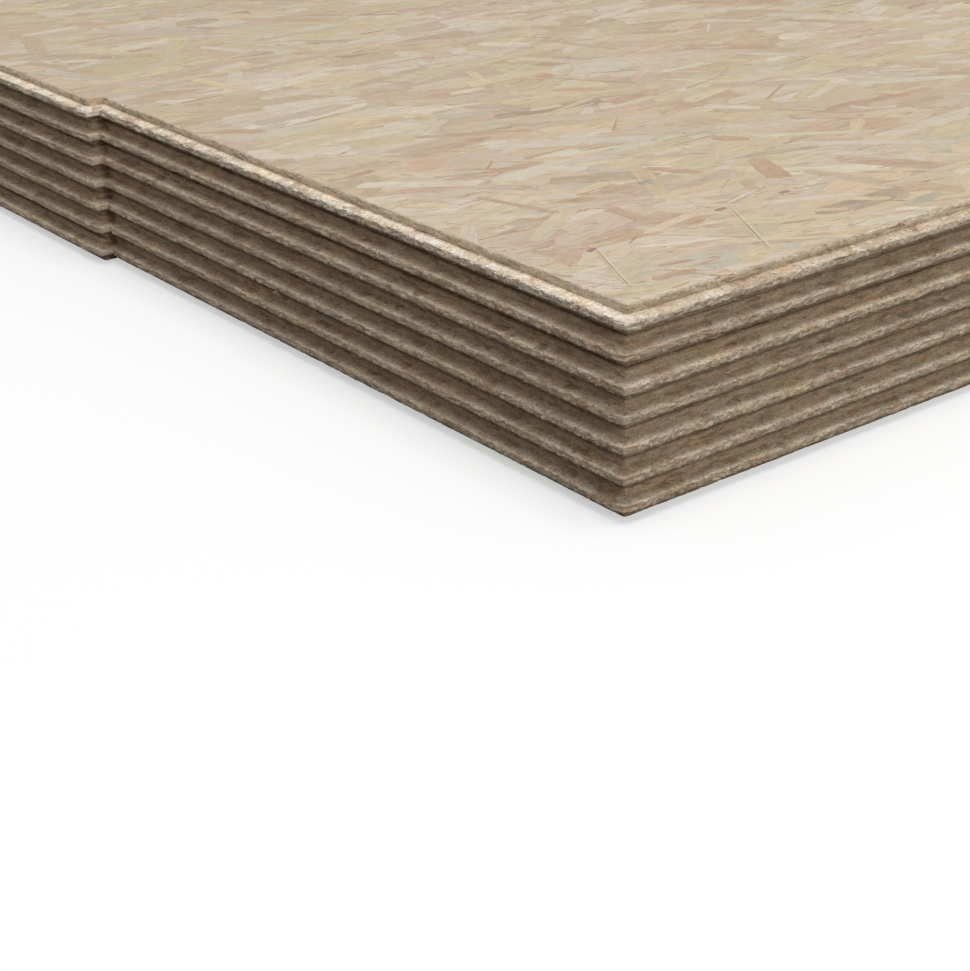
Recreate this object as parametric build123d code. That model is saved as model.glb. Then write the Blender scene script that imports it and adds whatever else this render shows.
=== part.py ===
from build123d import *
import os

# Stack of tongue-and-groove OSB panels: flat boards in layers, two boards side by side
# in each layer, with the tongue of the far board pushed into the groove of the near one.
# Every board has a tongue on one long side and one short end, and a groove on the other
# long side and the other end. Frame: X along the boards, Y across them, Z up. The origin
# is at the bottom centre of the whole stack, and the tongues point to -X and -Y.

# Board, millimetres
cover_length = 2440.0       # from the shoulder of the tongue end to the lips of the groove end
cover_width = 590.0         # the same across the board
thickness = 18.0

# Tongue, thinner at its tip than at its root
tongue_length = 9.0
tongue_root = 7.0
tongue_tip = 5.0
tip_round = 1.2             # radius of the two rounded corners at the tip

# Groove, the tongue's shape with room to slide
side_clearance = 0.15       # above and below the tongue
bottom_clearance = 1.0      # between the tip and the bottom of the groove

# Stack
layers = 7
seam_gap = 0.3              # between the two boards of a layer, at their faces
far_row_overhang = 10.0     # how far the far boards' ends stand out past the near ones

# How far each layer lies off its row, from the top layer down; a positive number is
# towards +X or +Y, away from the corner where the two tongues meet
near_end_offsets = [1.8, 0.5, -0.6, -0.3, -0.4, -0.5, 0.0]
far_end_offsets = [-0.2, 0.1, -0.3, 0.1, 0.4, 0.7, -0.6]
side_offsets = [0.7, 0.6, -0.9, 0.1, -0.2, -0.5, 0.0]

groove_depth = tongue_length + bottom_clearance
stack_height = layers * thickness


def board_section(cover):
    """Section across a board in the plane of the sketch: the tongue is at the left, from
    -tongue_length to 0, and the lips of the groove are at the right, at cover."""
    middle = thickness / 2
    body = Pos(cover / 2, middle) * Rectangle(cover, thickness)
    tongue = Pos(0, middle) * make_face(Polyline(
        (0, tongue_root / 2),
        (-tongue_length, tongue_tip / 2),
        (-tongue_length, -tongue_tip / 2),
        (0, -tongue_root / 2),
        close=True,
    ))
    tip_corners = tongue.vertices().group_by(Axis.X)[0]
    tongue = fillet(tip_corners, min(tip_round, 0.45 * tongue_tip))
    groove = Pos(cover, middle) * make_face(Polyline(
        (0, tongue_root / 2 + side_clearance),
        (-groove_depth, tongue_tip / 2 + side_clearance),
        (-groove_depth, -tongue_tip / 2 - side_clearance),
        (0, -tongue_root / 2 - side_clearance),
        close=True,
    ))
    return body + tongue - groove


def tongue_end_notch():
    """Block that takes away the end of a tongue where the groove of the next side passes."""
    return Box(tongue_length, groove_depth, thickness, align=(Align.MAX, Align.MAX, Align.MIN))


def board():
    """One board with its origin at the lower corner where the two shoulders meet."""
    along_length = Plane(origin=(0, cover_width, 0), x_dir=(1, 0, 0), z_dir=(0, -1, 0))
    milled_ends = extrude(along_length * board_section(cover_length), cover_width + tongue_length)
    across_width = Plane(origin=(-tongue_length, 0, 0), x_dir=(0, 1, 0), z_dir=(1, 0, 0))
    milled_sides = extrude(across_width * board_section(cover_width), cover_length + tongue_length)
    short_notch = Pos(0, cover_width, 0) * tongue_end_notch()
    long_notch = Pos(cover_length, 0, 0) * Rot(Z=90) * mirror(tongue_end_notch(), about=Plane.XZ)
    return (milled_ends & milled_sides) - short_notch - long_notch


def layer_offset(offsets, layer):
    """Offset of one layer, counted from the top, where 1 is the top one."""
    return offsets[(layer - 1) % len(offsets)]


def row_places(row):
    """The places of the boards of one row, from the top layer down."""
    places = []
    for layer in range(1, layers + 1):
        if row == "near":
            x = layer_offset(near_end_offsets, layer)
            y = 0.0
        else:
            x = layer_offset(far_end_offsets, layer) - far_row_overhang
            y = cover_width + seam_gap
        y += layer_offset(side_offsets, layer)
        places.append((x, y, stack_height - layer * thickness))
    return places


def main():
    places = {}
    for row in ("near", "far"):
        for number, place in enumerate(row_places(row), start=1):
            places[f"{row}_board_{number}"] = place
    low_x = min(x for x, y, z in places.values()) - tongue_length
    high_x = max(x for x, y, z in places.values()) + cover_length
    low_y = min(y for x, y, z in places.values()) - tongue_length
    high_y = max(y for x, y, z in places.values()) + cover_width
    to_origin = Vector(-(low_x + high_x) / 2, -(low_y + high_y) / 2, 0)

    os.makedirs("parts", exist_ok=True)
    one_board = board()
    for name, place in places.items():
        export_step(Pos(Vector(place) + to_origin) * one_board, f"parts/{name}.step")


main()
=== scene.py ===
import math

import bpy
import numpy as np
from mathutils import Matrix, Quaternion, Vector


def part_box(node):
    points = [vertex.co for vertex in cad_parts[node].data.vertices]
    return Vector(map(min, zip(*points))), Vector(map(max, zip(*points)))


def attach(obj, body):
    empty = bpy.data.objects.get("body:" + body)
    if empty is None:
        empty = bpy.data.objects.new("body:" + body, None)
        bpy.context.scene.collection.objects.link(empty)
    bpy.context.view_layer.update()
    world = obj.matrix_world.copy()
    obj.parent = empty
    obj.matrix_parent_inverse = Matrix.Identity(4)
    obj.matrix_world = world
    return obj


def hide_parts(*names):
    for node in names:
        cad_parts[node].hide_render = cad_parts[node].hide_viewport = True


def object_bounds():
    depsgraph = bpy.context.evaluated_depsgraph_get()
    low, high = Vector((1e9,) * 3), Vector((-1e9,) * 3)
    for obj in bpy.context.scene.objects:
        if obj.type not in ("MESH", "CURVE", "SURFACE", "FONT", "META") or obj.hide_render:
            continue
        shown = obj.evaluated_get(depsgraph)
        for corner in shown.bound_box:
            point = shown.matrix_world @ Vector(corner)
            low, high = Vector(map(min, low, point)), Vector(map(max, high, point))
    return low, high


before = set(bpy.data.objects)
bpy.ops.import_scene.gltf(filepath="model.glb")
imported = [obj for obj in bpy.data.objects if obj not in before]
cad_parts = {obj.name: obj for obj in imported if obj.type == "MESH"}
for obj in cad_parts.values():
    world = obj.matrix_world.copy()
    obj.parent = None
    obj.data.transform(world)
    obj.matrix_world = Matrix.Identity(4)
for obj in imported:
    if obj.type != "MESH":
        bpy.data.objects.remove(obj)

# A stack of tongue-and-groove OSB boards. Each board of the frame is replaced by a finer one
# of the same shape with rough milled edges, the upper faces get their strands, and splinters
# stand on the tongues. Everything is in metres.

MM = 0.001
cad_low, cad_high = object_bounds()

# Sizes that the frame's boxes don't give
TONGUE_LENGTH = 9 * MM
TONGUE_ROOT = 7 * MM
TONGUE_TIP = 5 * MM
TIP_ROUND = 1.2 * MM
SIDE_CLEARANCE = 0.15 * MM      # between a tongue and the side of its groove
GROOVE_DEPTH = 10 * MM

NEAR_BOARDS = sorted(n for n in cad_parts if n.startswith("near"))
FAR_BOARDS = sorted(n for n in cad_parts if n.startswith("far"))
TOP_BOARDS = (NEAR_BOARDS[0], FAR_BOARDS[0])
BOTTOM_BOARDS = (NEAR_BOARDS[-1], FAR_BOARDS[-1])

first_low, first_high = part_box(NEAR_BOARDS[0])
THICKNESS = first_high.z - first_low.z
COVER_LENGTH = first_high.x - first_low.x - TONGUE_LENGTH
COVER_WIDTH = first_high.y - first_low.y - TONGUE_LENGTH

STRAND_STEP = 0.013 * MM        # height of one strand over the one under it
STRAND_LEVELS = 27              # the most strands that lie over each other
STRAND_BED = STRAND_STEP * STRAND_LEVELS
MARK_LEVELS = 6                 # the highest levels, kept for the marks that are placed one by one
STRAND_ROOT = 0.2 * MM          # how far a strand reaches down into the board


def shoulder_corner(node):
    """The lower corner of a board, where the shoulders of its two tongues meet."""
    low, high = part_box(node)
    return np.array((low.x + TONGUE_LENGTH, low.y + TONGUE_LENGTH, low.z))


# Noise

def lattice_values(corner, seed):
    """A repeatable random number from -1 to 1 for each row of whole numbers."""
    mixed = corner[:, 0] * 73856093 ^ corner[:, 1] * 19349663 ^ corner[:, 2] * 83492791 ^ seed * 2654435761
    mixed = (mixed ^ (mixed >> 13)) * 1274126177 & 0x7FFFFFFF
    return (mixed ^ (mixed >> 16)) % 65536 / 32767.5 - 1


def smooth_noise(points, cell, seed):
    """Soft bumps from -1 to 1; cell is the size of a bump along each axis."""
    scaled = points / np.asarray(cell)
    corner = np.floor(scaled).astype(np.int64)
    part = scaled - corner
    part = part * part * (3 - 2 * part)
    total = np.zeros(len(points))
    for step in np.ndindex(2, 2, 2):
        weight = np.prod(np.where(step, part, 1 - part), axis=1)
        total += weight * lattice_values(corner + np.array(step), seed)
    return total


def block_noise(points, cell, seed):
    """One number from -1 to 1 for each block of space."""
    return lattice_values(np.floor(points / np.asarray(cell)).astype(np.int64), seed)


# Boards

FIRST_STEP = 0.8 * MM       # spacing of the points along a milled edge, at the near corner of the stack
STEP_GROWTH = 0.0055        # how much it grows with the distance from there
GROOVE_STEP = 9 * MM        # spacing along the grooved edges
HIDDEN_STEP = 60 * MM       # spacing where the next board covers the edge
RIM_HEIGHT = 2.0 * MM       # the part of a board's edge at each face that is worn round
FLOOR_RIM = 0.5             # how much of that wear is left where a board lies on the floor
JOINED_WEAR = 0.15          # how much wear is left where two boards of a layer meet
CORNER_LENGTH = 3.5 * MM    # the part of an edge at the corner that is worn round
HIGHLIGHT_FROM = 9.5 * MM        # height above which a painted highlight brightens the top boards' edges towards the face
SHORT_TONGUE_HIGHLIGHT = 0.85    # how strong the painted highlight on their tongue is at its strongest, at the short end
LONG_TONGUE_HIGHLIGHT = 0.30     # and along the long side
SHORT_END_HIGHLIGHT = 1.4       # how much stronger the painted highlight on their shoulders is at the short end
IN_FRONT = 0.2 * MM         # points up to this far behind a shoulder belong to its side of the board
ROUNDING = 1e-6             # how far off its plane a point may be

# How strong the painted highlight on a top board's tongue is, as a share of the values above, from its root
# to its tip
REACHES = (0.0, 0.20, 0.45, 0.80, 0.95)
HIGHLIGHT_SHARES = (0.0, 1.0, 0.9, 0.35, 0.7)

# Rings of points round a board, as distances from its middle plane in millimetres
RINGS_ABOVE = (
    9.0, 8.6, 8.0, 7.0, 5.6, 4.4, 3.65, 3.5, 3.36, 3.22, 3.08, 2.94, 2.8, 2.62, 2.35, 1.9, 1.2, 0.4,
)
RINGS_BELOW = (9.0, 8.6, 8.0, 6.5, 4.5, 3.65, 3.5, 3.2, 2.75, 2.5, 1.9, 1.0)

# Sizes of the bumps on a milled edge, along the board, across it and up
STREAK = (9 * MM, 9 * MM, 1.4 * MM)
GRIT = (1.7 * MM, 1.7 * MM, 1.2 * MM)
PIT = (5 * MM, 5 * MM, 1.8 * MM)
CHIP = (8 * MM, 8 * MM, 60 * MM)
NICK = (3.1 * MM, 3.1 * MM, 60 * MM)
STUB = (2.3 * MM, 2.3 * MM, 1.7 * MM)
LUMP = (4.2 * MM, 4.2 * MM, 3 * MM)
BITE = (13 * MM, 13 * MM, 40 * MM)
HEAVE = (5.5 * MM, 5.5 * MM, 30 * MM)
TUFT = (2.6 * MM, 2.6 * MM, 1)

# Where the upper edges of the top boards are torn: axis along the edge, place, half width and,
# in millimetres, depth
TORN = (
    (0, 66 * MM, 6 * MM, 0.8), (0, 152 * MM, 6 * MM, 1.3), (0, 21 * MM, 3 * MM, 0.6),
    (1, 47 * MM, 4 * MM, 0.8), (1, 118 * MM, 5 * MM, 0.8), (0, 288 * MM, 8 * MM, 1.0),
)


def tongue_reach(away):
    """How far the tongue stands out at a distance from the board's middle plane."""
    slope = (TONGUE_ROOT / 2 - away) / (TONGUE_ROOT / 2 - TONGUE_TIP / 2) * TONGUE_LENGTH
    into_round = np.clip(away - TONGUE_TIP / 2 + TIP_ROUND, 0, None)
    rounded = TONGUE_LENGTH - TIP_ROUND + np.sqrt(np.clip(TIP_ROUND ** 2 - into_round ** 2, 0, None))
    return np.clip(np.minimum(slope, rounded), 0, None)


def groove_reach(away):
    """How deep the groove is at a distance from the board's middle plane."""
    opening = TONGUE_ROOT / 2 + SIDE_CLEARANCE
    slope = (opening - away) / (TONGUE_ROOT / 2 - TONGUE_TIP / 2) * GROOVE_DEPTH
    return np.clip(slope, 0, GROOVE_DEPTH)


def graded_lines(start, length):
    """Places along an edge that begins at a distance from the near corner, closer near it."""
    lines = []
    place = FIRST_STEP + start * STEP_GROWTH
    while place < length - GROOVE_DEPTH:
        lines.append(place)
        place += FIRST_STEP + (start + place) * STEP_GROWTH
    return np.array(lines)


def even_lines(step, length):
    """Places along an edge, all one step apart."""
    return np.arange(step, length - GROOVE_DEPTH, step)


class BoardForm:
    """The points and faces of a board about its shoulder corner: rings of points round its four
    sides, and a flat face below and above. A slice of the board at any height is a rectangle,
    from the tongue's reach to what the groove leaves."""

    def __init__(self, long_side, short_side, long_back, short_back):
        away = np.array(RINGS_BELOW + tuple(reversed(RINGS_ABOVE))) * MM
        below = np.arange(len(away)) < len(RINGS_BELOW)
        height = THICKNESS / 2 + np.where(below, -away, away)
        front, back = -tongue_reach(away), groove_reach(away)
        sides = ((long_side, 0), (short_back, 1), (long_back[::-1], 0), (short_side[::-1], 1))
        ends = (COVER_LENGTH - back, COVER_WIDTH - back)
        corners = ((front, front), (ends[0], front), (ends[0], ends[1]), (front, ends[1]))
        points = []
        for (lines, axis), corner in zip(sides, corners):
            points.append(np.column_stack([corner[0], corner[1], height])[:, None, :])
            row = np.empty((len(away), len(lines), 3))
            row[:, :, axis] = lines
            row[:, :, 1 - axis] = corner[1 - axis][:, None]
            row[:, :, 2] = height[:, None]
            points.append(row)
        self.rings = np.concatenate(points, axis=1)
        self.reach = np.broadcast_to(tongue_reach(away)[:, None] / TONGUE_LENGTH, self.rings.shape[:2])

    def faces(self):
        """The lower face, the four-sided faces between the rings, and last the upper face."""
        levels, around = self.rings.shape[:2]
        faces = [list(range(around - 1, -1, -1))]
        for level in range(levels - 1):
            low, high = level * around, (level + 1) * around
            for i in range(around):
                following = (i + 1) % around
                faces.append((low + i, low + following, high + following, high + i))
        faces.append(list(range((levels - 1) * around, levels * around)))
        return faces


def rim_share(local):
    """From 0 inside a board's edge to 1 at its upper and lower faces."""
    away = np.abs(local[:, 2] - THICKNESS / 2)
    return np.clip((away - THICKNESS / 2 + RIM_HEIGHT) / RIM_HEIGHT, 0, 1)


def upper_edge_wear(local, place, rim, seed):
    """How much further back the upper edge of a top board is, in millimetres: small nicks all
    along it, and the torn places."""
    upper_rim = rim * (local[:, 2] > THICKNESS / 2)
    nick = smooth_noise(place, NICK, seed)
    wear = upper_rim * (0.45 * nick + 1.6 * np.clip(nick - 0.45, 0, 1))
    for axis, middle, half, depth in TORN:
        gap = np.clip(1 - np.abs(local[:, axis] - middle) / half, 0, 1)
        wear = wear + depth * np.sqrt(gap) * upper_rim * (local[:, 1 - axis] < half)
    return wear


def edge_wear(local, reach, seed, on_top, on_floor):
    """How far each point of a board, given from its shoulder corner, lies behind the true edge,
    and how far it lies above it. The factors of the noises are in millimetres. The boards on top
    have rougher upper edges, and those on the floor have straighter lower ones."""
    place = local + np.array((seed * 0.037, seed * 0.019, 0))
    streak = smooth_noise(place, STREAK, seed)
    grit = smooth_noise(place, GRIT, seed + 1)
    pit = smooth_noise(place, PIT, seed + 2)
    chip = smooth_noise(place, CHIP, seed + 3)
    rim = rim_share(local)
    if on_floor:
        rim *= np.where(local[:, 2] < THICKNESS / 2, FLOOR_RIM, 1)
    shoulder = 0.12 + 0.10 * streak + 0.10 * grit + 1.3 * np.clip(pit - 0.60, 0, 1)
    shoulder += rim ** 2 * (0.75 + 0.35 * grit + 0.40 * chip + 2.0 * np.clip(chip - 0.60, 0, 1))
    if on_top:
        shoulder += upper_edge_wear(local, place, rim, seed + 9)
    corner_gap = np.maximum(local[:, 0], local[:, 1]) + TONGUE_LENGTH * reach
    blunt = np.clip(1 - corner_gap / CORNER_LENGTH, 0, 1) ** 2
    shoulder += 0.8 * blunt

    stub = block_noise(place, STUB, seed + 4)
    lump = smooth_noise(place, LUMP, seed + 5)
    bite = smooth_noise(place, BITE, seed + 6)
    tip = 0.90 + 0.50 * stub + 0.42 * lump + 0.36 * grit + 0.30 * bite + 1.8 * np.clip(bite - 0.6, 0, 1)
    tip += 1.2 * blunt
    wear = shoulder * (1 - reach) + tip * reach ** 3

    heave = smooth_noise(place, HEAVE, seed + 7)
    tuft = block_noise(place, TUFT, seed + 8)
    lift = 0.24 * (grit + 0.6 * streak) * np.sqrt(reach) + (0.36 * heave + 0.24 * tuft) * reach ** 3
    return np.clip(wear, 0, None) * MM, lift * MM


def worn_points(node, local, reach, seed, open_sides):
    """A board's points, from its shoulder corner, with their wear. A board meets the other one
    of its layer along its long groove, or along its long tongue where that doesn't show."""
    wear, lift = edge_wear(local, reach, seed, node in TOP_BOARDS, node in BOTTOM_BOARDS)
    long_front = local[:, 1] <= ROUNDING
    long_back = local[:, 1] >= COVER_WIDTH - GROOVE_DEPTH - ROUNDING
    wear_across = np.where(long_back if 1 in open_sides else long_front, JOINED_WEAR * wear, wear)
    moved = local.copy()
    moved[:, 0] += np.where(local[:, 0] <= ROUNDING, wear, 0)
    moved[:, 0] -= np.where(local[:, 0] >= COVER_LENGTH - GROOVE_DEPTH - ROUNDING, wear, 0)
    moved[:, 1] += np.where(long_front, wear_across, 0)
    moved[:, 1] -= np.where(long_back, wear_across, 0)
    moved[:, 2] += lift
    if node in TOP_BOARDS:
        moved[:, 2] = np.minimum(moved[:, 2], THICKNESS - STRAND_BED)
    return moved


def painted_top_highlight(local, reach):
    """How much painted highlight each point of a top board's edge gets, for the light that reaches
    the top boards and not the lower ones: the shoulders towards the face, and the upper side of the tongues."""
    short_end = local[:, 0] < IN_FRONT
    shoulder = np.clip((local[:, 2] - HIGHLIGHT_FROM) / (THICKNESS - HIGHLIGHT_FROM), 0, 1) * (1 - reach)
    shoulder = np.minimum(shoulder * np.where(short_end, SHORT_END_HIGHLIGHT, 1.0), 1)
    root = np.where(short_end, SHORT_TONGUE_HIGHLIGHT, LONG_TONGUE_HIGHLIGHT)
    tongue = root * np.interp(reach, REACHES, HIGHLIGHT_SHARES)
    return np.maximum(shoulder, tongue * (local[:, 2] > THICKNESS / 2 - TONGUE_TIP / 2))


def set_point_values(mesh, name, values):
    """Gives a mesh one number a point, for its material to read."""
    attribute = mesh.attributes.new(name, "FLOAT", "POINT")
    attribute.data.foreach_set("value", values.astype(np.float32))


def board_body(node, form, seed, open_sides, material, top_material):
    """The finished body of one board, in the place of its CAD node. The open sides are the axes
    across the tongues that show."""
    on_top = node in TOP_BOARDS
    local = form.rings.reshape(-1, 3)
    in_front = (local[:, open_sides] < IN_FRONT).any(axis=1)
    reach = np.where(in_front, form.reach.ravel(), 0.0)
    moved = worn_points(node, local, reach, seed, open_sides)
    mesh = bpy.data.meshes.new(node + "_body")
    mesh.from_pydata(moved + shoulder_corner(node), [], form.faces())
    covered = (local[:, 2] < THICKNESS / 2) | (not on_top)
    set_point_values(mesh, "tongue", reach)
    # Painted highlight on the top boards' edges; the lower boards get none
    set_point_values(mesh, "painted_highlight", painted_top_highlight(local, reach) if on_top else np.zeros(len(local)))
    # Painted shade in the grooves where a board's worn rims meet the next board or the floor
    set_point_values(mesh, "seam_shade", rim_share(local) * covered)
    mesh.materials.append(material)
    mesh.materials.append(top_material)
    if on_top:
        mesh.polygons[-1].material_index = 1
    piece = bpy.data.objects.new(node + "_body", mesh)
    bpy.context.scene.collection.objects.link(piece)
    return piece


# Strands

CELL = 3 * MM                   # grid on which strands are stacked
FRAY_STEP = 2.4 * MM            # spacing of the notches where strands are cut off, at the near corner
FRAY_GROWTH = 0.010             # how much it grows with the distance from there
FRAY_DEPTH = 1.3 * MM           # the deepest notches
ON_CUT = 1e-7                   # how far off the line of a cut its points may be

# How far strands usually end from the low sides of a face and then from its high ones, in
# millimetres: less where the two top boards meet
NEAR_SET_BACK = (0.9, 0.9, 0.9, 0.1)
FAR_SET_BACK = (0.9, 0.1, 0.9, 0.9)

# The colours of strands, and how common each is
STRAND_COLOURS = (
    ((0.630, 0.520, 0.390), 0.26),      # cream
    ((0.680, 0.600, 0.495), 0.22),      # pale
    ((0.645, 0.535, 0.360), 0.20),      # straw
    ((0.570, 0.445, 0.315), 0.13),      # tan
    ((0.605, 0.465, 0.365), 0.09),      # pink
    ((0.550, 0.390, 0.280), 0.04),      # rust
    ((0.560, 0.500, 0.410), 0.025),     # ash
    ((0.480, 0.375, 0.270), 0.008),     # brown
)
PALE = np.array((0.690, 0.620, 0.520))
BARK = np.array((0.300, 0.205, 0.145))
STRAW = (0.640, 0.520, 0.350)
RUST = (0.520, 0.350, 0.245)
RED = (0.400, 0.215, 0.170)
TAN = (0.580, 0.425, 0.290)
SMOKE = (0.430, 0.405, 0.335)
SHADE = (0.400, 0.300, 0.200)

GRAIN_ANGLE = -0.30             # the usual turn of the strands from the board's length
BED_PITCH = np.array((80, 22)) * MM     # spacing of the lowest strands, along the board and across
BED_SMALLEST = (112, 30)        # their least length and width in millimetres
BED_LARGEST = (130, 36)         # and their most
BED_LEVELS = 4                  # levels that they take
STRAND_COUNT = 2300             # how many whole strands are tried on a face
USUAL_SHARE = 0.84              # the share of them that lies about the usual way
STRAND_LENGTHS = (28, 90)       # the shortest and longest in millimetres
STRAND_SHAPE = 0.33             # the most that a strand's width is of its length
WIDEST_STRAND = 30              # in millimetres
OUTSIDE = 30 * MM               # how far past the edges the middle of a strand may be
SLIVER_COUNT = 1300             # how many narrow ones are tried
BARK_COUNT = 450                # how many dark bits
FINES_COUNT = 500               # how many fine bits near the near corner of the stack
FINES_SPREAD = np.array((0.75, 0.55))   # how far from that corner they lie at the most

# Strands that stand out, most of them near the corner: place from it along and across the
# board, angle from its length in degrees, length and width in millimetres, and colour
MARKS = (
    (32, 50, 66, 70, 1.5, STRAW), (33.0, 49.5, 66, 64, 0.6, SHADE), (34.0, 49, 66, 62, 1.3, PALE),
    (140, 52, 62, 84, 1.8, STRAW), (141.2, 51.4, 62, 78, 0.6, SHADE), (142.4, 50.8, 62, 76, 1.5, PALE),
    (62, 24, -42, 34, 2.6, PALE), (170, 28, -32, 47, 2.8, PALE), (92, 58, -20, 60, 6, PALE),
    (210, 66, -24, 70, 7, PALE), (24, 22, -30, 26, 2.0, PALE), (128, 30, -24, 30, 2.2, PALE),
    (45, 82, 10, 8, 4.0, RED), (153, 88, 8, 9, 4.5, RED), (207, 87, 0, 8, 4.0, RED),
    (104, 118, 85, 34, 12, RUST), (236, 130, 62, 48, 17, RUST), (267, 196, -42, 26, 13, RUST),
    (66, 34, -14, 22, 4, RUST), (172, 40, -20, 24, 4, RUST), (52, 20, -8, 30, 7, RUST),
    (107, 257, 45, 20, 2.0, RUST), (232, 275, 45, 33, 2.2, RUST), (378, 264, 30, 50, 2.4, RUST),
    (44, 148, 14, 12, 7, SMOKE), (158, 160, 14, 13, 7, SMOKE), (260, 21, 4, 36, 12, SMOKE),
    (75, 285, 35, 32, 20, TAN), (15, 260, 30, 22, 12, TAN), (230, 290, 10, 30, 10, TAN),
    (180, 261, -32, 122, 15, PALE), (47, 252, -36, 85, 14, PALE), (331, 125, -40, 120, 11, PALE),
    (457, 347, -43, 55, 12, PALE), (323, 254, -42, 43, 10, PALE), (469, 225, -30, 108, 14, PALE),
    (31, 296, 4, 25, 7, RUST), (140, 310, -13, 18, 7, RUST),
)


def strand_outline(rng, length, width, stations):
    """Outline of a strand about its middle, grain along x: two long sides and two broken ends."""
    side = np.linspace(-0.42, 0.42, stations)
    taper = 1 - rng.uniform(0.0, 0.6) * np.abs(side * 2) ** 3
    bow = rng.normal(0, 0.10) * width * np.sin(side * 3)
    upper = np.column_stack([side * length, width / 2 * taper * rng.uniform(0.76, 1.08, stations) + bow])
    lower = np.column_stack([side * length, -width / 2 * taper * rng.uniform(0.76, 1.08, stations) + bow])
    ends = []
    for sign, place in ((1, -1), (-1, 0)):
        across = np.sort(rng.uniform(-0.42, 0.42, 2)) * width * taper[place]
        along = sign * rng.uniform(0.43, 0.52, 2) * length
        ends.append(np.column_stack([along, sign * across + bow[place]]))
    return np.vstack([lower, ends[0], upper[::-1], ends[1]])


def clip_side(points, axis, bound, sign):
    """The part of an outline on one side of a straight line square to an axis."""
    kept = []
    for i in range(len(points)):
        a, b = points[i - 1], points[i]
        da, db = sign * (bound - a[axis]), sign * (bound - b[axis])
        if (da >= 0) != (db >= 0):
            kept.append(a + (b - a) * (da / (da - db)))
        if db >= 0:
            kept.append(b)
    return kept


def clip_to_face(points, low, high):
    """The part of an outline inside a rectangle."""
    kept = list(points)
    for axis in (0, 1):
        for bound, sign in ((high[axis], 1), (low[axis], -1)):
            if kept:
                kept = clip_side(kept, axis, bound, sign)
    return np.array(kept)


def fray(points, bound, corner, rng):
    """An outline with ragged cuts where it ends on the bounds of the two near sides."""
    frayed = []
    for a, b in zip(points, np.roll(points, -1, axis=0)):
        frayed.append(a)
        for axis in (0, 1):
            if max(abs(a[axis] - bound[axis]), abs(b[axis] - bound[axis])) > ON_CUT:
                continue
            length = abs(b[1 - axis] - a[1 - axis])
            away = abs((a + b)[1 - axis] / 2 - corner[1 - axis])
            count = int(length / (FRAY_STEP + FRAY_GROWTH * away))
            share = np.sort(rng.uniform(0.04, 0.96, count))
            notches = a + (b - a) * share[:, None]
            room = 0.3 * length * np.minimum(share, 1 - share)
            notches[:, axis] += np.minimum(room, FRAY_DEPTH * rng.random(count) ** 2)
            frayed.extend(notches)
    return np.array(frayed)


class Pile:
    """Gathers small closed solids with a colour and a grain direction into one mesh."""

    def __init__(self, name):
        self.name = name
        self.points = []
        self.faces = []
        self.colours = []
        self.grains = []
        self.count = 0

    def add(self, points, faces, colour, grain):
        self.points.append(points)
        self.faces += [[self.count + i for i in face] for face in faces]
        self.colours.append(np.broadcast_to(colour, (len(points), 3)))
        self.grains.append(grain)
        self.count += len(points)

    def add_plate(self, outline, bottom, top, colour, grain):
        """A thin plate on an outline that runs anticlockwise."""
        n = len(outline)
        points = np.vstack([
            np.column_stack([outline, np.full(n, top)]),
            np.column_stack([outline, np.full(n, bottom)]),
        ])
        faces = [list(range(n)), list(range(2 * n - 1, n - 1, -1))]
        faces += [[i, i + n, (i + 1) % n + n, (i + 1) % n] for i in range(n)]
        self.add(points, faces, colour, np.vstack([grain, grain]))

    def build(self, material):
        mesh = bpy.data.meshes.new(self.name)
        mesh.from_pydata(np.vstack(self.points), [], self.faces)
        colours = np.vstack(self.colours)
        colours = np.column_stack([colours, np.ones(len(colours))]).astype(np.float32)
        layer = mesh.color_attributes.new("strand_colour", "FLOAT_COLOR", "POINT")
        layer.data.foreach_set("color", colours.ravel())
        corners = np.zeros(len(mesh.loops), np.int32)
        mesh.loops.foreach_get("vertex_index", corners)
        uv = mesh.uv_layers.new(name="grain")
        uv.data.foreach_set("uv", np.vstack(self.grains)[corners].astype(np.float32).ravel())
        mesh.materials.append(material)
        piece = bpy.data.objects.new(self.name, mesh)
        bpy.context.scene.collection.objects.link(piece)
        return piece


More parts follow.
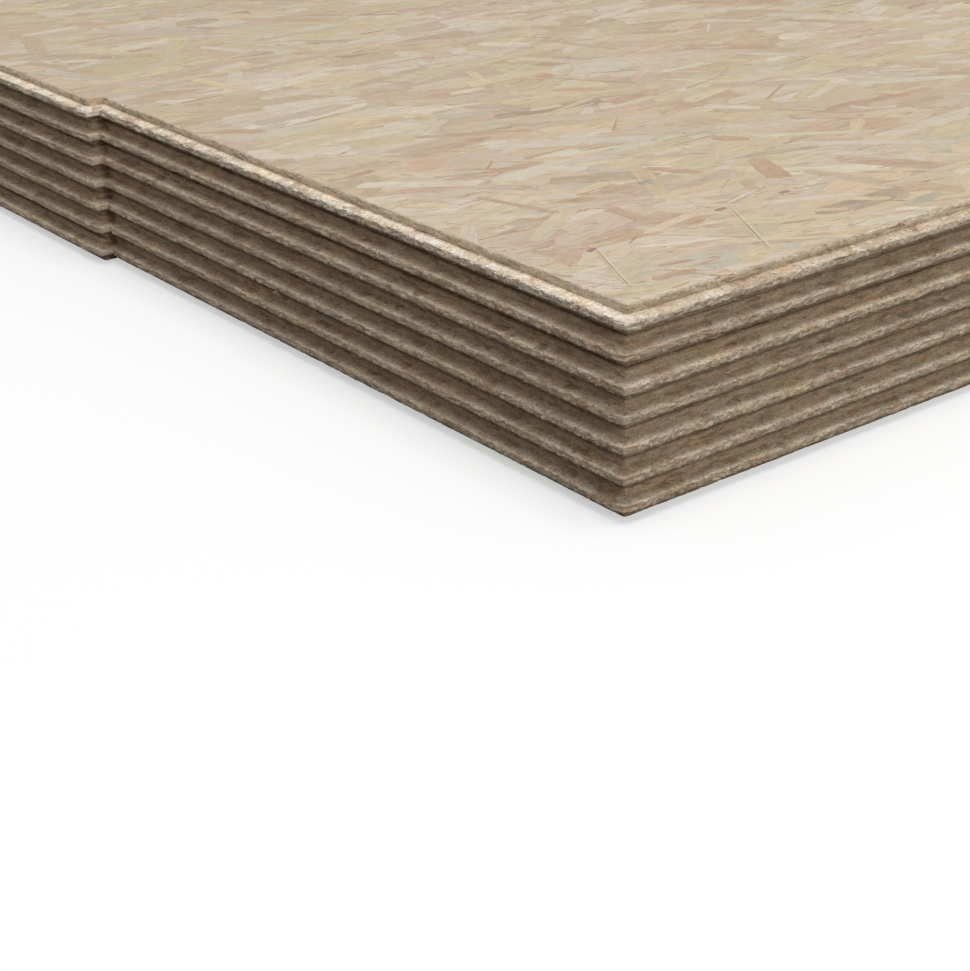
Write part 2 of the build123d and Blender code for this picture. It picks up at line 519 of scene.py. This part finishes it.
class FaceLayer:
    """The strands of a board's upper face, each lying over those laid before it. The set-back is
    how far they usually end from the face's low sides and then from its high ones."""

    def __init__(self, node, name, seed, set_back):
        self.rng = np.random.default_rng(seed)
        self.fray_rng = np.random.default_rng(seed + 50)
        self.set_back = np.array(set_back) * MM
        base = shoulder_corner(node)
        self.low = base[:2]
        self.high = base[:2] + (COVER_LENGTH, COVER_WIDTH)
        self.ground = base[2] + THICKNESS - STRAND_BED
        self.levels = np.zeros((int(COVER_LENGTH / CELL) + 2, int(COVER_WIDTH / CELL) + 2), int)
        self.pile = Pile(name)

    def level_under(self, centre, along, across, length, width, highest):
        """Raises the grid under a strand and gives the strand's level, or None above the highest."""
        box = np.abs(along) * length / 2 + np.abs(across) * width / 2
        first = np.clip(((centre - box - self.low) / CELL).astype(int), 0, None)
        last = np.minimum(((centre + box - self.low) / CELL).astype(int) + 1, self.levels.shape)
        if (last <= first).any():
            return None
        gx, gy = np.meshgrid(np.arange(first[0], last[0]), np.arange(first[1], last[1]), indexing="ij")
        away_x = self.low[0] + (gx + 0.5) * CELL - centre[0]
        away_y = self.low[1] + (gy + 0.5) * CELL - centre[1]
        under = np.abs(away_x * along[0] + away_y * along[1]) < length / 2 + CELL
        under &= np.abs(away_x * across[0] + away_y * across[1]) < width / 2 + CELL
        block = self.levels[first[0]:last[0], first[1]:last[1]]
        level = block[under].max() + 1 if under.any() else 1
        if level > highest:
            return None
        block[under] = level
        return level

    def lay(self, centre, angle, length, width, colour, level=None, stations=2,
            highest=STRAND_LEVELS - MARK_LEVELS):
        """Lays one strand, cut off a little short of the board's edge where it passes it."""
        rng = self.rng
        along = np.array([math.cos(angle), math.sin(angle)])
        across = np.array([-along[1], along[0]])
        outline = strand_outline(rng, length, width, stations)
        ragged = self.set_back * (0.6 + rng.gamma(1.5, 0.35, 4))
        turned = outline[:, :1] * along + outline[:, 1:] * across + centre
        turned = clip_to_face(turned, self.low + ragged[:2], self.high - ragged[2:])
        if len(turned) < 3:
            return
        turned = fray(turned, self.low + ragged[:2], self.low, self.fray_rng)
        level = level or self.level_under(centre, along, across, length, width, highest)
        if level is None:
            return
        tone = np.array(colour) * rng.normal(1.0, 0.045) * rng.normal(1.0, 0.015, 3)
        away = turned - centre
        grain = np.column_stack([away @ along, away @ across])
        fade = 1 + rng.normal(0, 0.05) * grain[:, :1] / length
        fade = np.vstack([fade, fade])
        self.pile.add_plate(
            turned, self.ground - STRAND_ROOT, self.ground + level * STRAND_STEP,
            np.clip(tone * fade, 0.02, 0.9), grain + rng.uniform(-5, 5, 2),
        )


def pick_colour(rng):
    weights = np.array([weight for colour, weight in STRAND_COLOURS])
    return STRAND_COLOURS[rng.choice(len(weights), p=weights / weights.sum())][0]


def lay_bed(layer, rng):
    """A full cover of broad strands, four of them a repeat, each on its own level."""
    counts = np.ceil((layer.high - layer.low) / BED_PITCH).astype(int) + 1
    for i, j in np.ndindex(*counts):
        centre = layer.low + BED_PITCH * (i, j) + rng.uniform(-0.12, 0.12, 2) * BED_PITCH
        level = 1 + i % 2 + 2 * (j % 2)
        size = rng.uniform(BED_SMALLEST, BED_LARGEST) * MM
        layer.lay(centre, rng.normal(0, 0.06), *size, pick_colour(rng), level)
    layer.levels[:] = BED_LEVELS


def lay_strands(layer, rng):
    """Whole strands, most of them about the usual way."""
    for _ in range(STRAND_COUNT):
        centre = rng.uniform(layer.low - OUTSIDE, layer.high + OUTSIDE)
        usual = rng.random() < USUAL_SHARE
        angle = rng.normal(GRAIN_ANGLE, 0.44) if usual else rng.uniform(-1.5, 1.5)
        length = rng.uniform(*STRAND_LENGTHS)
        width = min(rng.gamma(2.6, 4.2) + 3, WIDEST_STRAND, STRAND_SHAPE * length)
        layer.lay(centre, angle, length * MM, width * MM, pick_colour(rng), stations=3)


def lay_slivers(layer, rng):
    """Narrow slivers, half of them pale."""
    for _ in range(SLIVER_COUNT):
        centre = rng.uniform(layer.low, layer.high)
        if rng.random() < 0.5:
            tone = PALE * rng.uniform(0.86, 1.04)
        else:
            tone = np.array(pick_colour(rng)) * rng.uniform(0.78, 0.97)
        length = rng.gamma(2.0, 12) * MM + 6 * MM
        layer.lay(centre, rng.normal(GRAIN_ANGLE, 0.4), length, rng.uniform(0.6, 3.2) * MM, tone)


def lay_bark(layer, rng):
    """Small dark bits of bark."""
    for _ in range(BARK_COUNT):
        centre = rng.uniform(layer.low, layer.high)
        size = np.array((rng.uniform(2, 8), rng.uniform(0.4, 1.6))) * MM
        layer.lay(centre, rng.normal(GRAIN_ANGLE, 0.7), *size, BARK * rng.uniform(1.0, 2.2))


def lay_fines(layer, rng, count):
    """Fine bits, thickest near the near corner."""
    for _ in range(count):
        centre = layer.low + rng.beta(1.1, 4.0, 2) * FINES_SPREAD
        size = np.array((rng.gamma(2.2, 4.5) + 2, rng.uniform(0.35, 1.7))) * MM
        tone = PALE * rng.uniform(0.90, 1.06) if rng.random() < 0.6 else BARK * rng.uniform(1.2, 2.1)
        layer.lay(centre, rng.normal(GRAIN_ANGLE - 0.2, 0.35), *size, tone)


def lay_marks(layer, marks):
    """The strands whose places are given, over all the others."""
    for x, y, degrees, length, width, colour in marks:
        centre = layer.low + np.array((x, y)) * MM
        size = np.array((length, width)) * MM
        layer.lay(centre, math.radians(degrees), *size, colour, stations=3, highest=STRAND_LEVELS)


def face_strands(node, name, seed, set_back, fines, marks, material):
    """All the strands on the upper face of a board, as one piece."""
    layer = FaceLayer(node, name, seed, set_back)
    lay_bed(layer, layer.rng)
    lay_strands(layer, layer.rng)
    lay_slivers(layer, layer.rng)
    lay_bark(layer, layer.rng)
    lay_fines(layer, layer.rng, fines)
    lay_marks(layer, marks)
    return layer.pile.build(material)


# Splinters

SPLINTER_FACES = ((0, 1, 2), (0, 2, 3), (0, 3, 1), (4, 2, 1), (4, 3, 2), (4, 1, 3))
SPLINTERS_ALONG = 0.72          # how many lie along their edge
THINNING = 0.30                 # distance from the near corner at which they are half as close
WIDEST_GAP = 10 * MM            # between one and the next
BARE_END = 20 * MM              # the far end of an edge, which has none
BOX_MARGIN = 0.02 * MM          # how far they stay inside the CAD box


def splinter(rng, centre, direction, length, thick):
    """A spindle of five points about its middle, pointed at both ends."""
    aside = np.cross(direction, (0.0, 0.0, 1.0))
    aside = aside / (np.linalg.norm(aside) + 1e-9)
    over = np.cross(direction, aside)
    bend = rng.normal(0, 0.12, 2) * length
    waist = centre + aside * bend[0] * 0.5 + over * bend[1] * 0.5
    turn = rng.uniform(0, 2 * math.pi)
    points = [centre - direction * length / 2]
    for i in range(3):
        angle = turn + i * 2 * math.pi / 3
        points.append(waist + (aside * math.cos(angle) * 1.6 + over * math.sin(angle)) * thick / 2)
    points.append(centre + direction * length / 2)
    return np.array(points)


def add_splinter(pile, points, tone, direction, rng):
    """Adds a splinter, kept inside the CAD box."""
    points = np.clip(points, np.array(cad_low) + BOX_MARGIN, np.array(cad_high) - BOX_MARGIN)
    grain = np.column_stack([(points - points[0]) @ direction, points[:, 2]])
    pile.add(points, SPLINTER_FACES, np.clip(tone, 0, 0.85), grain + rng.uniform(-5, 5, 2))


# Where splinters stand: how far out from the shoulder, and the lowest and highest place and
# height, in millimetres
ON_TONGUE = (9.0, (-0.1, 1.3), (6.4, 11.7))
ON_RIM = (0.0, (0.0, 0.9), (16.2, 17.9))

# An edge is the axis that it runs along, its length and how far it starts from the near corner
NEAR_EDGES = ((0, COVER_LENGTH, 0.0), (1, COVER_WIDTH, 0.0))
FAR_EDGES = ((1, COVER_WIDTH, COVER_WIDTH),)


def splinter_lie(rng, axis):
    """The direction and the length in millimetres of a splinter on an edge along an axis: most
    lie along the edge, and the others stand out from it."""
    direction = np.zeros(3)
    if rng.random() < SPLINTERS_ALONG:
        direction[axis] = 1.0
        direction[1 - axis] = rng.normal(0, 0.22)
        size = 1.0 + rng.gamma(1.6, 1.0)
    else:
        direction[axis] = rng.normal(0, 0.6)
        direction[1 - axis] = 1.0
        size = 0.7 + rng.gamma(1.5, 0.35)
    direction[2] = rng.normal(0, 0.25)
    return direction / np.linalg.norm(direction), size


def edge_splinters(boards, name, seed, edges, density, spot, material):
    """Loose fibres along the edges of boards, thickest near the near corner of the stack. The
    density is how many a millimetre of edge has there."""
    rng = np.random.default_rng(seed)
    pile = Pile(name)
    out, depths, heights = spot
    for node in boards:
        base = shoulder_corner(node)
        for axis, length, start in edges:
            place = start or CORNER_LENGTH
            while place < start + length - BARE_END:
                gap = rng.exponential(1 / density) * MM * (1 + place / THINNING)
                place += min(gap, WIDEST_GAP)
                centre = np.zeros(3)
                centre[axis] = place - start - out * MM
                centre[1 - axis] = (rng.uniform(*depths) - out) * MM
                centre[2] = rng.uniform(*heights) * MM
                direction, size = splinter_lie(rng, axis)
                points = splinter(rng, centre + base, direction, size * MM, rng.uniform(0.12, 0.40) * MM)
                tone = PALE * rng.uniform(0.45, 0.85) if rng.random() < 0.85 else np.array(RUST)
                add_splinter(pile, points, tone * rng.normal(1, 0.04, 3), direction, rng)
    return pile.build(material)


# Larger loose bits: number of the near board, axis along the edge; place along it, place out
# from the shoulder and height in millimetres; rise along the length; length and thickness in
# millimetres; colour
LOOSE = (
    (5, 1, 345, -8.6, 6.2, -0.35, 8.0, 1.0, PALE), (5, 1, 341, -8.8, 5.6, -0.9, 4.0, 0.8, PALE),
    (3, 1, 286, -0.3, 14.0, 0.2, 4.0, 1.6, SHADE), (4, 0, 19, -2.0, 12.6, 0.1, 11.0, 1.3, RUST),
    (2, 0, 58, -8.6, 6.6, 0.0, 14.0, 0.8, RED), (6, 0, 9, -4.0, 12.2, 0.0, 9.0, 1.2, RUST),
    (3, 0, 26, -7.0, 11.9, 0.1, 9.0, 1.0, RUST), (2, 0, 96, -0.2, 13.6, 0.1, 8.0, 1.2, SHADE),
    (1, 0, 66, -0.4, 15.6, 0.5, 6.0, 1.2, RUST), (1, 0, 151, -0.4, 16.0, 0.7, 7.0, 1.4, RUST),
    (1, 0, 155, -0.8, 14.4, -0.4, 6.0, 1.2, SHADE), (6, 1, 26, -6.5, 11.9, 0.0, 8.0, 1.0, RUST),
    (4, 1, 62, -7.0, 11.8, 0.0, 10.0, 1.0, RUST), (5, 0, 133, -6.0, 12.0, 0.1, 9.0, 1.1, RUST),
)


def loose_splinters(name, seed, material):
    """The larger loose bits that show on the near boards' edges."""
    rng = np.random.default_rng(seed)
    pile = Pile(name)
    for number, axis, place, out, height, rise, length, thick, tone in LOOSE:
        centre = np.zeros(3)
        centre[axis], centre[1 - axis], centre[2] = place * MM, out * MM, height * MM
        direction = np.zeros(3)
        direction[axis], direction[2] = 1.0, rise
        direction /= np.linalg.norm(direction)
        centre += shoulder_corner(NEAR_BOARDS[number - 1])
        points = splinter(rng, centre, direction, length * MM, thick * MM)
        add_splinter(pile, points, np.array(tone), direction, rng)
    return pile.build(material)


# Materials

# The sockets of a Mix node that is set to colours
MIX_FACTOR, MIX_A, MIX_B, MIX_RESULT = 0, 6, 7, 2


def add_node(tree, kind, **values):
    """A shader node with its settings and unlinked inputs set by name."""
    node = tree.nodes.new(kind)
    for key, value in values.items():
        if key in node.inputs:
            node.inputs[key].default_value = value
        else:
            setattr(node, key, value)
    return node


def ramp(tree, source, stops):
    """A colour ramp from stops of a position and a colour."""
    node = tree.nodes.new("ShaderNodeValToRGB")
    elements = node.color_ramp.elements
    while len(elements) < len(stops):
        elements.new(0.5)
    for element, (position, colour) in zip(elements, stops):
        element.position = position
        element.color = (*colour, 1)
    tree.links.new(source, node.inputs["Fac"])
    return node.outputs["Color"]


def grey(value):
    return (value, value, value)


def scaled(tree, vector, scale):
    """A vector times a fixed vector."""
    node = tree.nodes.new("ShaderNodeVectorMath")
    node.operation = "MULTIPLY"
    tree.links.new(vector, node.inputs[0])
    node.inputs[1].default_value = scale
    return node.outputs[0]


def noise(tree, vector, scale, detail, roughness, distortion=0.0):
    """The value of a noise over a vector, with a scale along each axis."""
    node = add_node(
        tree, "ShaderNodeTexNoise",
        Scale=1.0, Detail=detail, Roughness=roughness, Distortion=distortion,
    )
    tree.links.new(scaled(tree, vector, scale), node.inputs["Vector"])
    return node.outputs["Fac"]


def mixed(tree, factor, a, b, blend="MIX"):
    """Two colours mixed; factor, a and b are sockets or values."""
    node = tree.nodes.new("ShaderNodeMix")
    node.data_type = "RGBA"
    node.blend_type = blend
    for index, value in ((MIX_FACTOR, factor), (MIX_A, a), (MIX_B, b)):
        socket = node.inputs[index]
        if isinstance(value, bpy.types.NodeSocket):
            tree.links.new(value, socket)
        elif isinstance(value, (int, float)):
            socket.default_value = value
        else:
            socket.default_value = (*value, 1)
    return node.outputs[MIX_RESULT]


def tinted(tree, share, base, source, stops):
    """A colour times a ramp of another value, by a share of that."""
    return mixed(tree, share, base, ramp(tree, source, stops), "MULTIPLY")


def bump(tree, height, target, strength, distance):
    """Relief on a shader, or under a relief that it has."""
    node = add_node(tree, "ShaderNodeBump", Strength=strength, Distance=distance)
    tree.links.new(height, node.inputs["Height"])
    tree.links.new(node.outputs[0], target.inputs["Normal"])
    return node


def new_material(name, roughness, specular):
    """A material with a principled shader of a plain roughness and specular level."""
    material = bpy.data.materials.new(name)
    material.use_nodes = True
    tree = material.node_tree
    shader = tree.nodes["Principled BSDF"]
    shader.inputs["Roughness"].default_value = roughness
    shader.inputs["Specular IOR Level"].default_value = specular
    return material, tree, shader


def object_place(tree):
    return add_node(tree, "ShaderNodeTexCoord").outputs["Object"]


def point_value(tree, name):
    """A number that a mesh gives for each of its points."""
    return add_node(tree, "ShaderNodeAttribute", attribute_name=name).outputs["Fac"]


def strand_material():
    """Pressed wood strands: fine grain along each one, with a thin waxy sheen."""
    material, tree, shader = new_material("osb_strands", 0.62, 0.3)
    uv = add_node(tree, "ShaderNodeUVMap", uv_map="grain").outputs[0]
    colour = add_node(tree, "ShaderNodeVertexColor", layer_name="strand_colour").outputs[0]
    place = object_place(tree)
    veil = noise(tree, place, (45, 70, 45), 3.0, 0.6, 0.8)
    cloud = noise(tree, place, (110, 150, 110), 4.0, 0.65, 0.5)
    fine = noise(tree, uv, (40, 1300, 1), 4.0, 0.6)
    broad = noise(tree, uv, (14, 190, 1), 2.0, 0.5, 0.6)
    streak = noise(tree, uv, (26, 480, 1), 2.0, 0.5, 0.3)
    share = ramp(tree, veil, [(0.35, grey(0.0)), (0.65, grey(0.45))])
    base = mixed(tree, share, colour, (0.615, 0.510, 0.385))
    base = tinted(tree, 0.85, base, cloud, [
        (0.28, (0.86, 0.80, 0.74)), (0.42, (0.97, 0.96, 0.94)), (0.55, grey(1.0)), (0.72, (1.06, 1.06, 1.07)),
    ])
    base = tinted(tree, 0.7, base, fine, [(0.25, (0.84, 0.81, 0.77)), (0.5, grey(1.0)), (0.8, grey(1.05))])
    base = tinted(tree, 0.8, base, broad, [
        (0.3, (0.93, 0.91, 0.87)), (0.55, grey(1.0)), (0.75, (1.04, 1.04, 1.03)),
    ])
    base = tinted(tree, 0.5, base, streak, [(0.64, grey(1.0)), (0.72, (0.80, 0.68, 0.57))])
    tree.links.new(base, shader.inputs["Base Color"])
    bump(tree, fine, shader, 0.3, 0.4 * MM)
    return material


def bed_material():
    """What shows of the top boards between their strands."""
    material, tree, shader = new_material("osb_strand_bed", 0.8, 0.2)
    cloud = noise(tree, object_place(tree), (60, 240, 100), 4.0, 0.7)
    base = ramp(tree, cloud, [(0.30, (0.380, 0.280, 0.190)), (0.65, (0.580, 0.470, 0.350))])
    tree.links.new(base, shader.inputs["Base Color"])
    bump(tree, cloud, shader, 0.5, 0.6 * MM)
    return material


def bent_place(tree, place):
    """A place pushed about by a noise, so that layers wind."""
    warp = add_node(tree, "ShaderNodeTexNoise", Scale=1.0, Detail=3.0, Roughness=0.55, Distortion=0.0)
    tree.links.new(scaled(tree, place, (70, 70, 110)), warp.inputs["Vector"])
    bend = tree.nodes.new("ShaderNodeVectorMath")
    bend.operation = "MULTIPLY_ADD"
    tree.links.new(warp.outputs["Color"], bend.inputs[0])
    bend.inputs[1].default_value = (10 * MM, 10 * MM, 4.5 * MM)
    tree.links.new(place, bend.inputs[2])
    return bend.outputs[0]


def flake_colours(tree, vector):
    """The colours of cut flakes on a shoulder and on a tongue, one flake a cell."""
    cells = add_node(tree, "ShaderNodeTexVoronoi", Scale=1.0, Randomness=1.0)
    tree.links.new(scaled(tree, vector, (100, 100, 650)), cells.inputs["Vector"])
    pick = tree.nodes.new("ShaderNodeSeparateColor")
    tree.links.new(cells.outputs["Color"], pick.inputs[0])
    shoulder = ramp(tree, pick.outputs[0], [
        (0.00, (0.340, 0.235, 0.155)), (0.12, (0.435, 0.320, 0.216)), (0.34, (0.500, 0.380, 0.264)),
        (0.52, (0.480, 0.392, 0.280)), (0.70, (0.550, 0.430, 0.304)), (0.86, (0.590, 0.474, 0.354)),
        (0.95, (0.570, 0.380, 0.256)), (1.00, (0.620, 0.520, 0.394)),
    ])
    tongue = ramp(tree, pick.outputs[0], [
        (0.00, (0.490, 0.370, 0.262)), (0.15, (0.580, 0.475, 0.358)), (0.40, (0.650, 0.556, 0.440)),
        (0.62, (0.690, 0.605, 0.495)), (0.82, (0.730, 0.655, 0.555)), (0.93, (0.640, 0.520, 0.400)),
        (1.00, (0.600, 0.430, 0.322)),
    ])
    return shoulder, tongue


def edge_material():
    """Milled edge of a board: the cut ends and sides of thin strands, with small voids. The
    shoulders are browner, and the rough tongue is paler. Painted shade darkens the tongue's root and the rims
    where boards meet, and a painted highlight lightens the top boards' edges."""
    material, tree, shader = new_material("osb_milled_edge", 0.85, 0.2)
    place = object_place(tree)
    bent = bent_place(tree, place)
    shoulder, tongue = flake_colours(tree, bent)
    reach = point_value(tree, "tongue")
    # The shoulder's browner colour gives way to the tongue's paler one along the tongue; the slow rise near
    # the root is partly painted shade under the tongue above
    share = ramp(tree, reach, [(0.0, grey(0.0)), (0.3, grey(0.38)), (0.85, grey(0.95))])
    base = mixed(tree, share, shoulder, tongue)
    base = tinted(tree, 1.0, base, reach, [(0.88, grey(1.0)), (0.97, (0.99, 0.95, 0.90))])
    # Painted highlight: the top boards' edges lighter towards the face and on the tongue's upper side, most
    # at the short end
    base = tinted(tree, 1.0, base, point_value(tree, "painted_highlight"), [
        (0.0, grey(1.0)), (0.3, (1.09, 1.14, 1.20)), (0.8, (1.42, 1.55, 1.72)), (1.0, (1.54, 1.70, 1.90)),
    ])
    # Painted shade: the worn rims darker where boards meet each other or the floor
    painted_seam_shade = ramp(tree, point_value(tree, "seam_shade"), [(0.2, grey(0.0)), (0.9, grey(0.5))])
    base = mixed(tree, painted_seam_shade, base, (0.210, 0.145, 0.095))

    patch = noise(tree, place, (38, 38, 150), 3.0, 0.55, 0.4)
    mottle = noise(tree, bent, (170, 170, 520), 2.0, 0.6, 0.3)
    fibre = noise(tree, bent, (330, 330, 1400), 5.0, 0.65)
    grit = noise(tree, bent, (620, 620, 1200), 3.0, 0.75)
    base = tinted(tree, 0.9, base, patch, [
        (0.30, (0.86, 0.81, 0.76)), (0.50, grey(1.0)), (0.60, (1.04, 1.04, 0.97)), (0.70, (1.10, 1.01, 0.91)),
    ])
    base = tinted(tree, 0.9, base, mottle, [
        (0.30, (0.76, 0.67, 0.58)), (0.44, grey(1.0)), (0.58, grey(1.0)), (0.70, (1.12, 1.09, 1.02)),
    ])
    base = tinted(tree, 0.85, base, fibre, [
        (0.28, (0.66, 0.60, 0.53)), (0.5, grey(1.0)), (0.76, (1.15, 1.13, 1.09)),
    ])
    base = tinted(tree, 0.9, base, grit, [
        (0.34, (0.40, 0.31, 0.24)), (0.44, grey(0.98)), (0.56, grey(1.0)), (0.66, (1.20, 1.19, 1.15)),
    ])
    tree.links.new(base, shader.inputs["Base Color"])
    coarse = bump(tree, fibre, shader, 0.7, 0.6 * MM)
    bump(tree, grit, coarse, 0.6, 0.5 * MM)
    return material


def math_node(tree, operation, first, second):
    """The result of a sum on a socket and a socket or a number."""
    node = tree.nodes.new("ShaderNodeMath")
    node.operation = operation
    tree.links.new(first, node.inputs[0])
    if isinstance(second, bpy.types.NodeSocket):
        tree.links.new(second, node.inputs[1])
    else:
        node.inputs[1].default_value = second
    return node.outputs[0]


FLOOR_TONE = 0.12           # the grey that the floor is for the light that falls on it
FLOOR_GLOW = 0.5            # share of plain white in what is seen of it; the rest shows the shadow


def floor_material():
    """Plain floor that the camera sees as white and that throws little light back."""
    material, tree, shader = new_material("floor_white", 1.0, 0.0)
    path = tree.nodes.new("ShaderNodeLightPath")
    mirrored = math_node(
        tree, "MAXIMUM", path.outputs["Is Glossy Ray"], path.outputs["Is Transmission Ray"],
    )
    seen = math_node(tree, "MAXIMUM", path.outputs["Is Camera Ray"], mirrored)
    colour = mixed(tree, seen, grey(FLOOR_TONE), grey(1.0))
    tree.links.new(colour, shader.inputs["Base Color"])
    glow = add_node(tree, "ShaderNodeEmission", Strength=1.0)
    lit = tree.nodes.new("ShaderNodeMixShader")
    tree.links.new(math_node(tree, "MULTIPLY", seen, FLOOR_GLOW), lit.inputs[0])
    tree.links.new(shader.outputs[0], lit.inputs[1])
    tree.links.new(glow.outputs[0], lit.inputs[2])
    tree.links.new(lit.outputs[0], tree.nodes["Material Output"].inputs["Surface"])
    return material


# Stage

PIXELS = (970, 971)         # the photograph's frame
CAMERA_PLACE = (-1.87665, -1.33200, 0.49901)
LOOK_AZIMUTH = 52.726       # degrees from +X towards +Y
LOOK_DOWN = 25.561          # degrees
ROLL = 1.353                # degrees
FOCAL_PIXELS = 1989.7
SENSOR = 36.0               # width in millimetres
NEAREST_SEEN = 0.01
FARTHEST_SEEN = 50

FLOOR_SIZE = 60
LOW_SKY = (0.16, 0.16, 0.16)
HIGH_SKY = (1.0, 0.99, 0.975)
SKY_STRENGTH = 0.56

# Lamps: place, size and power in watts
LAMPS = {
    "key": ((-0.9, -0.9, 4.5), 2.5, 95),
    "right": ((-2.0, -6.3, 3.5), 3.0, 135),
    "left": ((-5.6, -1.6, 5.2), 3.0, 30),
}


def make_camera():
    """Camera at the photograph's viewing angle, with no shift and no depth of field."""
    data = bpy.data.cameras.new("camera")
    data.sensor_width = SENSOR
    data.lens = FOCAL_PIXELS / max(PIXELS) * SENSOR
    data.clip_start = NEAREST_SEEN
    data.clip_end = FARTHEST_SEEN
    azimuth, down = math.radians(LOOK_AZIMUTH), math.radians(LOOK_DOWN)
    level = math.cos(down)
    forward = Vector((level * math.cos(azimuth), level * math.sin(azimuth), -math.sin(down)))
    camera = bpy.data.objects.new("camera", data)
    camera.location = CAMERA_PLACE
    camera.rotation_mode = "QUATERNION"
    camera.rotation_quaternion = Quaternion(forward, math.radians(ROLL)) @ forward.to_track_quat("-Z", "Y")
    bpy.context.scene.collection.objects.link(camera)
    bpy.context.scene.camera = camera


def make_lamp(name, place, size, power):
    """A large soft round lamp that points at the middle of the stack."""
    data = bpy.data.lights.new(name, "AREA")
    data.shape = "DISK"
    data.size = size
    data.energy = power
    lamp = bpy.data.objects.new(name, data)
    lamp.location = place
    lamp.rotation_mode = "QUATERNION"
    lamp.rotation_quaternion = (-Vector(place)).to_track_quat("-Z", "Y")
    bpy.context.scene.collection.objects.link(lamp)


def make_stage():
    """Pale floor, soft world and soft lamps overhead, stronger on the long side."""
    bpy.ops.mesh.primitive_plane_add(size=FLOOR_SIZE, location=(0, 0, cad_low.z))
    floor = bpy.context.object
    floor.name = "floor"
    floor.data.materials.append(floor_material())

    world = bpy.data.worlds.new("studio")
    bpy.context.scene.world = world
    world.use_nodes = True
    tree = world.node_tree
    background = tree.nodes["Background"]
    towards = add_node(tree, "ShaderNodeTexCoord").outputs["Generated"]
    height = tree.nodes.new("ShaderNodeSeparateXYZ")
    tree.links.new(towards, height.inputs[0])
    dome = ramp(tree, height.outputs["Z"], [(0.0, LOW_SKY), (1.0, HIGH_SKY)])
    tree.links.new(dome, background.inputs["Color"])
    background.inputs["Strength"].default_value = SKY_STRENGTH
    for name, (place, size, power) in LAMPS.items():
        make_lamp(name, place, size, power)
    bpy.context.scene.view_settings.view_transform = "Standard"


# Making

make_camera()
make_stage()
edge = edge_material()
bed = bed_material()
strands = strand_material()

near_form = BoardForm(
    graded_lines(0, COVER_LENGTH), graded_lines(0, COVER_WIDTH),
    even_lines(HIDDEN_STEP, COVER_LENGTH), even_lines(GROOVE_STEP, COVER_WIDTH),
)
far_form = BoardForm(
    even_lines(HIDDEN_STEP, COVER_LENGTH), graded_lines(COVER_WIDTH, COVER_WIDTH),
    even_lines(GROOVE_STEP, COVER_LENGTH), even_lines(GROOVE_STEP, COVER_WIDTH),
)
for boards, form, first_seed, open_sides in (
    (NEAR_BOARDS, near_form, 100, [0, 1]), (FAR_BOARDS, far_form, 300, [0]),
):
    for number, node in enumerate(boards):
        body = board_body(node, form, first_seed + 10 * number, open_sides, edge, bed)
        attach(body, "root")
        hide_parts(node)

pieces = [
    face_strands(NEAR_BOARDS[0], "near_face_strands", 1, NEAR_SET_BACK, FINES_COUNT, MARKS, strands),
    face_strands(FAR_BOARDS[0], "far_face_strands", 2, FAR_SET_BACK, 0, (), strands),
    edge_splinters(NEAR_BOARDS, "near_tongue_splinters", 3, NEAR_EDGES, 1.4, ON_TONGUE, strands),
    edge_splinters(NEAR_BOARDS[:1], "near_rim_splinters", 5, NEAR_EDGES, 1.2, ON_RIM, strands),
    edge_splinters(FAR_BOARDS, "far_tongue_splinters", 4, FAR_EDGES, 1.1, ON_TONGUE, strands),
    loose_splinters("loose_splinters", 6, strands),
]
for piece in pieces:
    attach(piece, "root")
